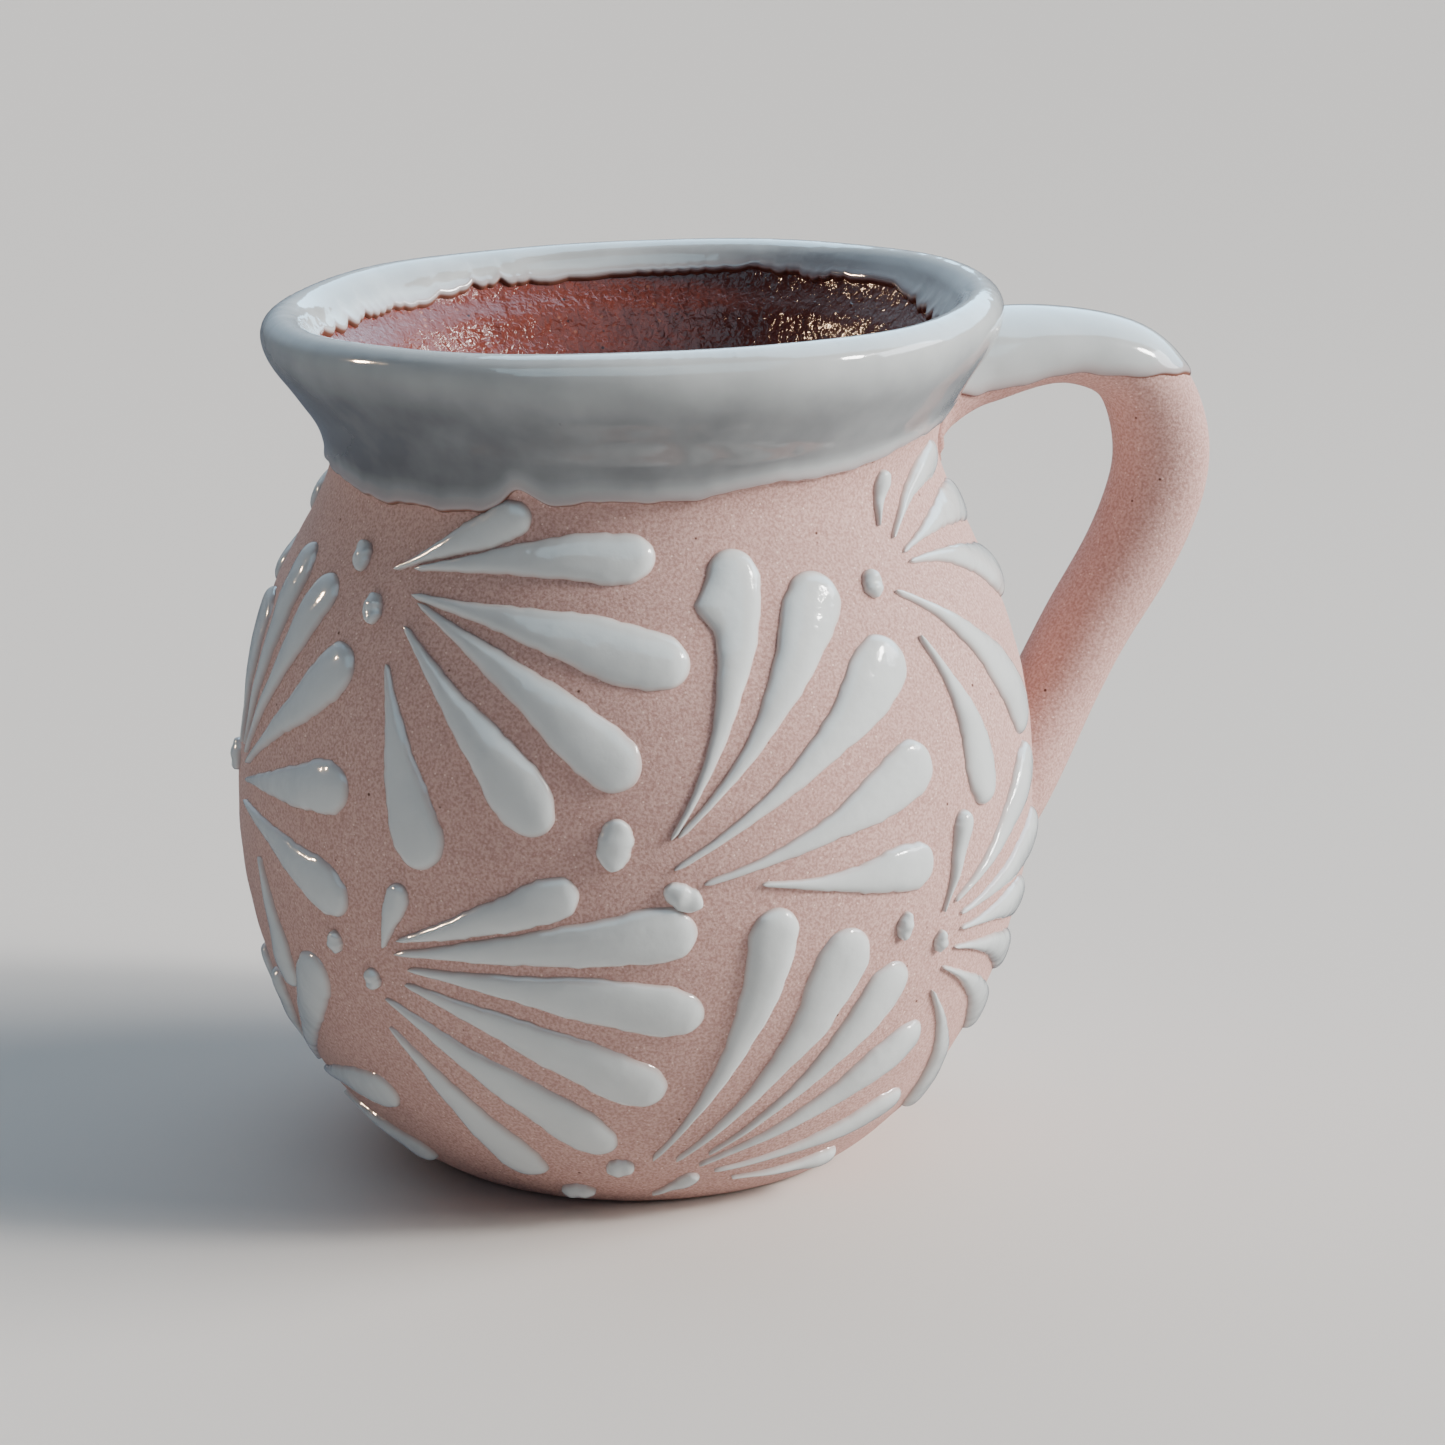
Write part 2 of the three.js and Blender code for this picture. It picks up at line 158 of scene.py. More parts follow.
def outer_wall():
    foot = bezier(
        (FOOT_RADIUS, 0),
        (FOOT_RADIUS + FOOT_RUN[0], FOOT_RUN[1]),
        (BELLY_RADIUS, BELLY_HEIGHT - BELLY_RUN_BELOW),
        (BELLY_RADIUS, BELLY_HEIGHT),
        CURVE_STEPS,
    )
    shoulder = bezier(
        (BELLY_RADIUS, BELLY_HEIGHT),
        (BELLY_RADIUS, BELLY_HEIGHT + BELLY_RUN_ABOVE),
        (NECK_RADIUS, NECK_HEIGHT - NECK_RUN_BELOW),
        (NECK_RADIUS, NECK_HEIGHT),
        CURVE_STEPS,
    )
    rim = bezier(
        (NECK_RADIUS, NECK_HEIGHT),
        (NECK_RADIUS, NECK_HEIGHT + NECK_RUN_ABOVE),
        (LIP_RADIUS, LIP_HEIGHT - LIP_RUN_BELOW),
        (LIP_RADIUS, LIP_HEIGHT),
        CURVE_STEPS // 2,
    )
    return np.vstack([foot, shoulder[1:], rim[1:]])


def normals_of(line):
    tangent = np.gradient(line, axis=0)
    tangent /= np.linalg.norm(tangent, axis=1)[:, None]
    return np.column_stack([tangent[:, 1], -tangent[:, 0]])


OUTER = outer_wall()
OUTER_NORMALS = normals_of(OUTER)


def whole_skin():
    """Foot centre, foot, outer wall, over the lip, inner wall and floor centre, in (radius, height)."""
    start = int(np.argmax(OUTER[:, 1] > FOOT_EDGE_HEIGHT))
    disc = np.column_stack([np.linspace(0, FOOT_DISC_RADIUS, DISC_STEPS), np.zeros(DISC_STEPS)])
    edge = (FOOT_DISC_RADIUS + FOOT_EDGE_BULGE, 0)
    foot_edge = bezier(disc[-1], edge, edge, OUTER[start], 14)[1:-1]
    angle = np.linspace(0, math.pi, 26)[1:-1]
    half = WALL / 2
    lip = np.column_stack([
        LIP_RADIUS - half + half * np.cos(angle),
        LIP_HEIGHT + half * np.sin(angle),
    ])
    inner = (OUTER - WALL * OUTER_NORMALS)[::-1]
    inner = inner[(inner[:, 1] > FLOOR_CORNER_HEIGHT) & (inner[:, 1] < LIP_HEIGHT - LIP_KINK)]
    corner = inner[-1]
    slope = (inner[-1] - inner[-2]) / np.linalg.norm(inner[-1] - inner[-2])
    floor_start = (corner[0] - FLOOR_CORNER_WIDTH, FLOOR_TOP)
    bend = bezier(corner, corner + 8 * slope, (corner[0] - 9, FLOOR_TOP), floor_start, 30)[1:]
    floor = np.column_stack([np.linspace(floor_start[0], 0, 30), np.full(30, FLOOR_TOP)])[1:]
    return np.vstack([disc, foot_edge, OUTER[start:], lip, inner, bend, floor])


SKIN = whole_skin()
SKIN_NORMALS = normals_of(SKIN)
SKIN_RUN = np.concatenate([[0], np.cumsum(np.linalg.norm(np.diff(SKIN, axis=0), axis=1))])
LIP_RUN = SKIN_RUN[int(np.argmax(SKIN[:, 1]))]
FOOT_RUN_END = SKIN_RUN[DISC_STEPS]


def run_outside(height):
    """How far along the skin the outer wall has that height."""
    use = (SKIN_RUN <= LIP_RUN) & (SKIN_RUN >= FOOT_RUN_END)
    return np.interp(height, SKIN[use, 1], SKIN_RUN[use])


def run_inside(height):
    """How far along the skin the inner wall has that height."""
    use = (SKIN_RUN >= LIP_RUN) & (SKIN[:, 1] > FLOOR_TOP + 0.01)
    return np.interp(-np.asarray(height, float), -SKIN[use, 1], SKIN_RUN[use])


def skin_radius(run):
    return np.interp(run, SKIN_RUN, SKIN[:, 0])


def skin_height(run):
    return np.interp(run, SKIN_RUN, SKIN[:, 1])


def rim_waves(angle):
    """The lip of a hand-thrown jug isn't quite level."""
    return 0.28 * np.sin(2 * angle + 0.6) + 0.16 * np.sin(3 * angle + 2.1) + 0.05 * np.sin(7 * angle)


def unevenness(angle, run):
    """How far the thrown wall stands proud of a true turned form."""
    radius = skin_radius(run)
    height = skin_height(run)
    slow = 0.22 * np.sin(2 * angle + 0.03 * run) + 0.14 * np.sin(3 * angle + 1.3 - 0.05 * run)
    dents = 0.07 * np.sin(5 * angle + 0.11 * run + 0.4) + 0.05 * np.sin(9 * angle - 0.17 * run)
    rings = 0.03 * np.sin(run * 2 * math.pi / 6.1 + 0.5 * np.sin(angle))
    inside = smooth(LIP_RUN, LIP_RUN + 8, run)
    rings = rings * (1 + 4 * inside)
    fade = smooth(0, 22, radius) * (inside + (1 - inside) * smooth(0.4, 6, height))
    return (slow + dents + rings) * fade


def lean_and_wave(points, angle):
    """How much the upper part rises: tilted up towards the handle, with a lip that waves."""
    share = np.clip((points[..., Z] - LEAN_START) / (LIP_HEIGHT - LEAN_START), 0, 1) ** 2
    return share * (LEAN * points[..., X] / LIP_RADIUS + rim_waves(angle))


def on_skin(angle, run, lift):
    """Points on the jug's skin, lifted off it along its normal."""
    angle, run, lift = np.broadcast_arrays(angle, run, lift)
    out = lift + unevenness(angle, run)
    radius = skin_radius(run) + out * np.interp(run, SKIN_RUN, SKIN_NORMALS[:, 0])
    height = skin_height(run) + out * np.interp(run, SKIN_RUN, SKIN_NORMALS[:, 1])
    radius = np.maximum(radius, 0)
    points = np.stack([radius * np.cos(angle), radius * np.sin(angle), height], axis=-1)
    points[..., Z] += lean_and_wave(points, angle)
    return points


def outside_distance(points):
    """How far points stand outside the outer wall and the lip, negative inside them."""
    radius = np.hypot(points[..., X], points[..., Y])
    angle = np.arctan2(points[..., Y], points[..., X])
    height = points[..., Z] - lean_and_wave(points, angle)
    wall = np.interp(height, OUTER[:, 1], OUTER[:, 0])
    across = np.interp(height, OUTER[:, 1], OUTER_NORMALS[:, 0])
    distance = (radius - wall) * across
    half = WALL / 2
    lip = np.hypot(radius - LIP_RADIUS + half, height - LIP_HEIGHT) - half
    return np.where(height > LIP_HEIGHT, lip, distance)


# ---------------------------------------------------------------- meshes

def tube_faces(rows, columns, first, closed):
    """Quads over a grid whose columns go right round, and whose rows join up too when closed."""
    faces = []
    for row in range(rows if closed else rows - 1):
        above = (row + 1) % rows
        for column in range(columns):
            beside = (column + 1) % columns
            faces.append((
                first + row * columns + column,
                first + row * columns + beside,
                first + above * columns + beside,
                first + above * columns + column,
            ))
    return faces


def capped_tube(grid, poles, first=0):
    """Points and faces of a tube closed by a fan of triangles at each end."""
    rows, columns = grid.shape[:2]
    points = np.vstack([grid.reshape(-1, 3), poles])
    faces = tube_faces(rows, columns, first, closed=False)
    start = first + rows * columns
    last_row = first + (rows - 1) * columns
    for column in range(columns):
        beside = (column + 1) % columns
        faces.append((start, first + beside, first + column))
        faces.append((last_row + column, last_row + beside, start + 1))
    return points, faces


def ring_centres(grid):
    """The middles of the first and last rings of a tube, as its poles."""
    return np.vstack([grid[0].mean(axis=0), grid[-1].mean(axis=0)])


def tube_normals(grid):
    """Outward directions of a tube given as rings of points."""
    along = np.gradient(grid, axis=0)
    round_it = np.roll(grid, -1, axis=1) - np.roll(grid, 1, axis=1)
    normals = np.cross(round_it, along)
    normals /= np.linalg.norm(normals, axis=-1)[..., None]
    outward = grid - grid.mean(axis=1)[:, None, :]
    return normals * np.sign((normals * outward).sum())


def add_piece(name, points, faces, material, nodes, values=None):
    mesh = bpy.data.meshes.new(name)
    mesh.from_pydata((points * MM).tolist(), [], faces)
    mesh.update()
    mesh.shade_smooth()
    mesh.materials.append(material)
    for label, numbers in (values or {}).items():
        attribute = mesh.attributes.new(label, "FLOAT", "POINT")
        attribute.data.foreach_set("value", np.asarray(numbers, np.float32).ravel())
    piece = bpy.data.objects.new(name, mesh)
    bpy.context.scene.collection.objects.link(piece)
    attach(piece, "root")
    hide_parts(*nodes)
    return piece


# ---------------------------------------------------------------- materials

# Linear colours. A pair is the two ends of a soft cloud.
ENGOBE = ((0.585, 0.365, 0.325), (0.65, 0.425, 0.38))
ENGOBE_GRAIN = (0.42, 0.24, 0.205)
ENGOBE_LIGHT_SPECK = (0.78, 0.58, 0.52)
ENGOBE_DARK_SPECK = (0.12, 0.05, 0.035)
RAW_CLAY = ((0.30, 0.11, 0.055), (0.42, 0.17, 0.09))
# Ends of the white glaze's colour: grey for thin glaze and for painted shade, milky for thick glaze and
# for painted light.
GLAZE_THIN_AND_SHADED = (0.125, 0.13, 0.14)
GLAZE_MILKY_AND_LIT = (0.52, 0.55, 0.55)
GLAZE_MARGIN = (0.42, 0.36, 0.355)
GLAZE_LINE = (0.20, 0.085, 0.06)
GLAZE_SPECK = (0.22, 0.14, 0.12)
SLIP = ((0.58, 0.615, 0.615), (0.67, 0.705, 0.70))
SLIP_THIN = (0.50, 0.385, 0.355)
SLIP_SPECK = (0.30, 0.16, 0.13)
LINING = ((0.13, 0.028, 0.020), (0.215, 0.055, 0.038))
LINING_LIGHT_SPECK = (0.30, 0.10, 0.06)
LINING_DARK_SPECK = (0.04, 0.012, 0.01)

# The engobe stops about this far above the foot, in metres, and its edge wanders by this much.
BARE_CLAY_HEIGHT = 0.75 * MM
BARE_CLAY_WANDER = 0.7 * MM


def colour_sockets(sockets):
    return [socket for socket in sockets if socket.type == "RGBA"]


class Surface:
    """A material whose colours come from noise in the object's own space."""

    def __init__(self, name, roughness):
        self.material = bpy.data.materials.new(name)
        self.material.use_nodes = True
        self.nodes = self.material.node_tree.nodes
        self.links = self.material.node_tree.links
        self.shader = self.nodes["Principled BSDF"]
        self.shader.inputs["Roughness"].default_value = roughness
        self.space = self.nodes.new("ShaderNodeTexCoord").outputs["Object"]

    def noise(self, size, detail=2.0, distortion=0.0):
        """Soft noise whose blobs are about that many millimetres across."""
        node = self.nodes.new("ShaderNodeTexNoise")
        node.inputs["Scale"].default_value = 1 / (size * MM)
        node.inputs["Detail"].default_value = detail
        node.inputs["Distortion"].default_value = distortion
        self.links.new(self.space, node.inputs["Vector"])
        return node.outputs["Fac"]

    def specks(self, spacing, radius, share):
        """1 in round specks of that radius, in some share of cells of that spacing."""
        cells = self.nodes.new("ShaderNodeTexVoronoi")
        cells.inputs["Scale"].default_value = 1 / (spacing * MM)
        self.links.new(self.space, cells.inputs["Vector"])
        near = self.ramp(cells.outputs["Distance"], [(radius / spacing * 0.6, 1), (radius / spacing, 0)])
        split = self.nodes.new("ShaderNodeSeparateColor")
        self.links.new(cells.outputs["Color"], split.inputs["Color"])
        chosen = self.math("LESS_THAN", split.outputs["Red"], share)
        return self.math("MULTIPLY", near, chosen)

    def ramp(self, value, stops):
        """Maps a value through grey levels at places."""
        node = self.nodes.new("ShaderNodeValToRGB")
        elements = node.color_ramp.elements
        for index, (place, level) in enumerate(stops):
            element = elements[index] if index < 2 else elements.new(place)
            element.position = place
            element.color = (level, level, level, 1)
        self.links.new(value, node.inputs["Fac"])
        return node.outputs["Color"]

    def math(self, operation, a, b):
        node = self.nodes.new("ShaderNodeMath")
        node.operation = operation
        for socket, value in zip(node.inputs, (a, b)):
            if isinstance(value, (int, float)):
                socket.default_value = value
            else:
                self.links.new(value, socket)
        return node.outputs["Value"]

    def mix(self, share, a, b):
        """A colour between a and b; each is an rgb triple or a socket."""
        node = self.nodes.new("ShaderNodeMix")
        node.data_type = "RGBA"
        self.links.new(share, node.inputs["Factor"])
        for socket, value in zip(colour_sockets(node.inputs), (a, b)):
            if isinstance(value, tuple):
                socket.default_value = (*value, 1)
            else:
                self.links.new(value, socket)
        return colour_sockets(node.outputs)[0]

    def attribute(self, name):
        node = self.nodes.new("ShaderNodeAttribute")
        node.attribute_name = name
        return node.outputs["Fac"]

    def height(self):
        split = self.nodes.new("ShaderNodeSeparateXYZ")
        self.links.new(self.space, split.inputs["Vector"])
        return split.outputs["Z"]

    def colour(self, value):
        self.links.new(value, self.shader.inputs["Base Color"])

    def bumps(self, *layers):
        """Bump layers of (height, depth in millimetres, strength), one on the other."""
        previous = None
        for height, depth, strength in layers:
            node = self.nodes.new("ShaderNodeBump")
            node.inputs["Strength"].default_value = strength
            node.inputs["Distance"].default_value = depth * MM
            self.links.new(height, node.inputs["Height"])
            if previous:
                self.links.new(previous, node.inputs["Normal"])
            previous = node.outputs["Normal"]
        self.links.new(previous, self.shader.inputs["Normal"])
        self.links.new(previous, self.shader.inputs["Coat Normal"])

    def coat(self, weight, roughness):
        self.shader.inputs["Coat Weight"].default_value = weight
        self.shader.inputs["Coat Roughness"].default_value = roughness


def engobe_material():
    """Matt pink engobe full of fine sand, and bare clay right under the foot."""
    surface = Surface("sandy_engobe", 0.82)
    grain = surface.noise(0.33, 3.0)
    cloud = surface.noise(14, 3.0)
    base = surface.mix(cloud, *ENGOBE)
    sandy = surface.mix(surface.ramp(grain, [(0.34, 0), (0.62, 1)]), ENGOBE_GRAIN, base)
    light = surface.mix(surface.specks(0.8, 0.14, 0.4), sandy, ENGOBE_LIGHT_SPECK)
    dark = surface.mix(surface.specks(2.9, 0.23, 0.26), light, ENGOBE_DARK_SPECK)
    clay = surface.mix(surface.noise(1.5, 4.0), *RAW_CLAY)
    wander = surface.math("MULTIPLY", surface.noise(6), BARE_CLAY_WANDER)
    edge = surface.math("ADD", surface.height(), wander)
    bare = surface.math("LESS_THAN", edge, BARE_CLAY_HEIGHT)
    surface.colour(surface.mix(bare, dark, clay))
    surface.bumps((grain, 0.12, 0.55), (surface.noise(0.9, 2.0), 0.12, 0.3))
    surface.shader.inputs["Specular IOR Level"].default_value = 0.35
    return surface.material


def glaze_colour(surface):
    """Glaze colour, grey where it has run thin and where shade is painted, lighter where light is
    painted, with a brown line and a thin margin at its edge.
    """
    wander = surface.math("MULTIPLY", surface.math("SUBTRACT", surface.noise(7, 3.0), 0.5), 0.5)
    # This level holds glaze thickness together with painted light and painted shade.
    milk_and_shade = surface.math("ADD", surface.attribute("milk_and_shade"), wander)
    body = surface.mix(surface.ramp(milk_and_shade, [(0, 0), (1, 1)]), GLAZE_THIN_AND_SHADED, GLAZE_MILKY_AND_LIT)
    edge = surface.attribute("edge")
    margin = surface.ramp(edge, [(0.03, 1), (0.2, 0)])
    pale = surface.mix(margin, body, GLAZE_MARGIN)
    line = surface.ramp(edge, [(0.02, 1), (0.045, 0)])
    return surface.mix(line, pale, GLAZE_LINE)


def white_glaze_material():
    """Thick glossy milky glaze with soft waves and a few pinholes."""
    surface = Surface("milky_glaze", 0.09)
    body = glaze_colour(surface)
    surface.colour(surface.mix(surface.specks(4.2, 0.16, 0.16), body, GLAZE_SPECK))
    pits = surface.math("SUBTRACT", 1, surface.specks(4.2, 0.3, 0.16))
    surface.bumps(
        (surface.noise(5, 1.0), 0.35, 0.35),
        (surface.noise(1.4, 1.0), 0.05, 0.15),
        (pits, 0.15, 0.6),
    )
    surface.coat(0.5, 0.03)
    return surface.material


def slip_material():
    """Raised white slip under a clear gloss; the clay shows through where it is thin."""
    surface = Surface("white_slip", 0.12)
    cloud = surface.noise(5, 3.0)
    body = surface.mix(cloud, *SLIP)
    thin = surface.mix(surface.attribute("thin"), body, SLIP_THIN)
    surface.colour(surface.mix(surface.specks(5.5, 0.14, 0.1), thin, SLIP_SPECK))
    surface.bumps((surface.noise(2.6, 1.0), 0.3, 0.35), (surface.noise(1.1, 2.0), 0.1, 0.4))
    surface.coat(0.45, 0.04)
    return surface.material


def lining_material():
    """Dark red-brown glaze, rippled and full of specks."""
    surface = Surface("dark_lining", 0.1)
    cloud = surface.noise(7, 4.0, 0.6)
    body = surface.mix(cloud, *LINING)
    light = surface.mix(surface.specks(1.7, 0.3, 0.3), body, LINING_LIGHT_SPECK)
    surface.colour(surface.mix(surface.specks(2.2, 0.26, 0.35), light, LINING_DARK_SPECK))
    surface.bumps((surface.noise(2.6, 2.0), 0.6, 0.7), (surface.noise(0.8, 2.0, 0.8), 0.22, 0.8))
    surface.shader.inputs["Specular IOR Level"].default_value = 0.3
    return surface.material


# ---------------------------------------------------------------- clay, lining and rim

def turned_columns(sides):
    return np.linspace(0, 2 * math.pi, sides, endpoint=False)


def add_clay(material):
    """The clay wall; it steps in under the glaze near the lip, and stays so under the lining."""
    angle = turned_columns(CLAY_SIDES)
    run = SKIN_RUN[1:-1][:, None]
    step_start, step_end = run_outside(CLAY_STEP_HEIGHTS)
    grid = on_skin(angle[None, :], run, -CLAY_STEP * smooth(step_start, step_end, run))
    poles = np.array([[0, 0, 0], [0, 0, FLOOR_TOP - CLAY_STEP]])
    points, faces = capped_tube(grid, poles)
    add_piece("jug_clay", points, faces, material, ["clay_body", "engobe_coat"])


def add_lining(material):
    """The glaze inside: a thin closed shell over the floor and up the wall."""
    angle = turned_columns(LINING_SIDES)
    top = run_inside(LIP_HEIGHT + 0.2)
    run = np.concatenate([[top], SKIN_RUN[(SKIN_RUN > top + 0.2)][:-1]])[:, None]
    tucked = -LINING_TUCK * smooth(top + 1.0, top + 0.2, run)
    over = on_skin(angle[None, :], run, tucked)
    under = on_skin(angle[None, :], run[::-1], -LINING_UNDERSIDE)
    centre = np.array([[0, 0, FLOOR_TOP], [0, 0, FLOOR_TOP - LINING_CENTRE]])
    rows, columns = over.shape[:2]
    count = rows * columns
    points = np.vstack([over.reshape(-1, 3), under.reshape(-1, 3), centre])
    faces = tube_faces(rows, columns, 0, closed=False)
    faces += tube_faces(rows, columns, count, closed=False)
    for column in range(columns):
        beside = (column + 1) % columns
        last = (rows - 1) * columns
        faces.append((last + column, last + beside, 2 * count))
        faces.append((2 * count + 1, count + beside, count + column))
        low = count + last
        faces.append((low + column, low + beside, beside, column))
    add_piece("dark_lining", points, faces, material, ["interior_glaze"])


def ripple(angle, counts, sizes, seed):
    """A sum of waves round the jug with seeded phases."""
    rng = random.Random(seed)
    total = np.zeros_like(angle)
    for count, size in zip(counts, sizes):
        total += size * np.sin(count * angle + rng.uniform(0, 2 * math.pi))
    return total


def bumps_round(angle, places):
    """Local swellings, each at some degrees round the jug, that many degrees wide and that high."""
    total = np.zeros_like(angle)
    for degrees, width, height in places:
        apart = (np.degrees(angle) - degrees + 180) % 360 - 180
        total += height * bell(apart, 0, width)
    return total


def dip_edge(angle):
    """Height of the glaze edge on the neck: a tilted dip with waves, runs and notches."""
    tilt = DIP_RISE_TO_HANDLE * np.cos(angle) + DIP_RISE_ACROSS * np.sin(angle)
    waves = ripple(angle, (4, 7, 11, 17, 29, 47, 83), (0.2, 0.2, 0.2, 0.15, 0.1, 0.07, 0.04), 11)
    runs = bumps_round(angle, [(-157, 9, 0.5), (-66, 5, 0.5), (60, 7, 0.9), (130, 5, 1.0)])
    notches = bumps_round(angle, [(-129, 3.2, 2.1), (-186, 5, 0.6), (-83, 2.5, 0.6)])
    return DIP_HEIGHT + tilt + waves - runs + notches


def band_edge(angle):
    """Height of the scalloped edge of the white band inside the lip."""
    lobes = np.abs(np.sin(16 * angle + 3.1 * np.sin(3 * angle) + 1.7 * np.sin(7 * angle + 1)))
    small = np.abs(np.sin(41 * angle + 4.2 * np.sin(5 * angle + 2) + 2.6 * np.sin(11 * angle)))
    strength = 0.5 + 0.5 * np.sin(2 * angle + 2.3) * np.sin(5 * angle + 2.0)
    waves = 0.5 * np.cos(angle - 1.4) + ripple(angle, (2, 3, 5, 8, 13), (0.3, 0.3, 0.3, 0.25, 0.2), 23)
    edge = BAND_HEIGHT - strength * 0.75 * lobes - (0.12 + 0.2 * strength) * small + waves
    return np.minimum(edge, BAND_HIGHEST)


def rim_glaze_rows(length):
    """Places along the glaze from edge to edge over the lip, close together near both edges."""
    near = np.array([0, 0.03, 0.08, 0.15, 0.24, 0.36, 0.5, 0.7, 0.95, 1.3, 1.8, 2.5, 3.5])[:, None]
    middle = np.linspace(0, 1, 34)[1:-1][:, None]
    reach = near[-1]
    return np.vstack([
        near + 0 * length,
        reach + (length - 2 * reach) * middle,
        length - near[::-1],
    ])


def rim_glaze_lift(run, from_edge):
    """How far the glaze stands off the clay: thick outside, thin over the lip, a bead at its edge."""
    outside = smooth(0, 1, (LIP_RUN - run) / 14)
    inner = smooth(0, 6, run - LIP_RUN)
    inside = GLAZE_THICK * (0.35 + 0.65 * inner) * (run > LIP_RUN - 1)
    proud = np.maximum(GLAZE_THICK * (0.25 + 0.75 * outside), inside)
    bead = 0.16 * bell(from_edge, 0.9, 0.7)
    return (proud + bead + GLAZE_BURIED) * quarter_round(from_edge, 0.65) - GLAZE_BURIED


def rim_glaze_milk_and_shade(angle, run, from_edge):
    """How milky the glaze is painted: darker on the neck, from thin glaze and from painted shade of the
    hollow neck, lighter on the lip, painted light on the lit side and painted shade on the other, and
    milky at its edge.
    """
    # Painted light towards the lit side, painted shade away from it.
    right = 0.5 + 0.5 * np.cos(angle - LIT_SIDE)
    low = 0.5 * right ** 2
    on_lip = smooth(-10, -1, run - LIP_RUN)
    return low + (0.7 + 0.3 * right - low) * on_lip + 0.45 * bell(from_edge, 1.2, 1.5)


def add_rim_glaze(material):
    """White glaze from its edge on the neck over the lip to its edge inside, as a closed shell."""
    angle = turned_columns(GLAZE_SIDES)[None, :]
    start = run_outside(dip_edge(angle))
    stop = run_inside(band_edge(angle))
    length = stop - start
    along = rim_glaze_rows(length)
    from_edge = np.minimum(along, length - along)
    run = start + along
    over = on_skin(angle, run, rim_glaze_lift(run, from_edge))
    inward = np.array([0.75, 0.5, 0.35])[:, None]
    back_run = np.vstack([stop - 0.4, start + length * inward, start + 0.4])
    under = on_skin(angle, back_run, -GLAZE_UNDERSIDE)
    grid = np.vstack([over, under])
    rows, columns = grid.shape[:2]
    faces = tube_faces(rows, columns, 0, closed=True)
    blank = np.zeros((len(under), columns))
    values = {
        "edge": np.vstack([from_edge, blank]) / EDGE_REACH,
        "milk_and_shade": np.vstack([rim_glaze_milk_and_shade(angle, run, from_edge), blank]),
    }
    add_piece("rim_glaze_coat", grid.reshape(-1, 3), faces, material, ["rim_glaze"], values)


# ---------------------------------------------------------------- handle

# Centre line in the plane of the handle as (x, z), and the oval section as (share of the length,
# half thickness, half width).
HANDLE_LINE = [
    (33, 90.5), (42, 93.2), (53, 94.8), (61.5, 93.4), (67, 90),
    (70.2, 80), (66.8, 69), (60, 58.5), (54, 48), (46, 36.5),
]
HANDLE_SECTIONS = [
    (0, 7.6, 8.6), (0.12, 5.6, 7.2), (0.26, 4.6, 6.4),
    (0.48, 5.8, 6.6), (0.8, 5.4, 6.4), (1, 6.4, 9.3),
]
HANDLE_EASE = 26

# Fillet radii above and below the upper root, and the lower root's share between the two.
FILLET_ABOVE = 1.4
FILLET_BELOW = 4.2
LOWER_ROOT_SHARE = 0.45

# The ends of the handle reach this deep into the wall, and its thin outermost edge dives into
# the wall from this distance on, so that the seam is clean.
ROOT_DEPTH = 1.6
ROOT_SINK = 1.5
ROOT_SINK_START = 0.7
ROOT_SINK_END = 0.1


def smooth_line(points, steps):
    """A Catmull-Rom curve through points, sampled evenly along its length."""
    points = np.array(points, float)
    ends = [2 * points[0] - points[1], *points, 2 * points[-1] - points[-2]]
    pieces = []
    for a, b, c, d in zip(ends, ends[1:], ends[2:], ends[3:]):
        t = np.linspace(0, 1, 40, endpoint=False)[:, None]
        pieces.append(0.5 * (2 * b + (c - a) * t + (2 * a - 5 * b + 4 * c - d) * t ** 2
                             + (3 * b - a - 3 * c + d) * t ** 3))
    line = np.vstack([*pieces, points[-1:]])
    run = np.concatenate([[0], np.cumsum(np.linalg.norm(np.diff(line, axis=0), axis=1))])
    even = np.linspace(0, run[-1], steps)
    return np.column_stack([np.interp(even, run, line[:, axis]) for axis in (0, 1)])


def eased(line, reach):
    """The line with its bends made rounder by averaging over some steps either side."""
    padded = np.pad(line, ((reach, reach), (0, 0)), mode="edge")
    window = np.hanning(2 * reach + 3)[1:-1]
    window /= window.sum()
    soft = np.column_stack([np.convolve(padded[:, axis], window, "valid") for axis in (0, 1)])
    step = np.arange(len(line))
    from_end = np.minimum(step, step[::-1])
    keep = smooth(0, 2 * reach, from_end)[:, None]
    return line + (soft - line) * keep


CENTRE = eased(smooth_line(HANDLE_LINE, HANDLE_LINE_STEPS), HANDLE_EASE)
CENTRE_SHARE = np.linspace(0, 1, HANDLE_LINE_STEPS)
CENTRE_WAY = np.gradient(CENTRE, axis=0)
CENTRE_WAY /= np.linalg.norm(CENTRE_WAY, axis=1)[:, None]


def section_size(share, column):
    """Half thickness (column 1) or half width (column 2) of the handle at shares of its length."""
    table = np.array(HANDLE_SECTIONS)
    size = np.full_like(share, table[0, column])
    for low, high in zip(table, table[1:]):
        size = size + (high[column] - low[column]) * smooth(low[0], high[0], share)
    return size


def fillet_radius(share, side):
    """Radius of the fillet at the root, larger beneath the upper root than above it."""
    top_root = smooth(0.5, 0.3, share)
    beneath = (1 - np.sin(side)) / 2
    lower = top_root * beneath + (1 - top_root) * LOWER_ROOT_SHARE
    return FILLET_ABOVE + (FILLET_BELOW - FILLET_ABOVE) * lower


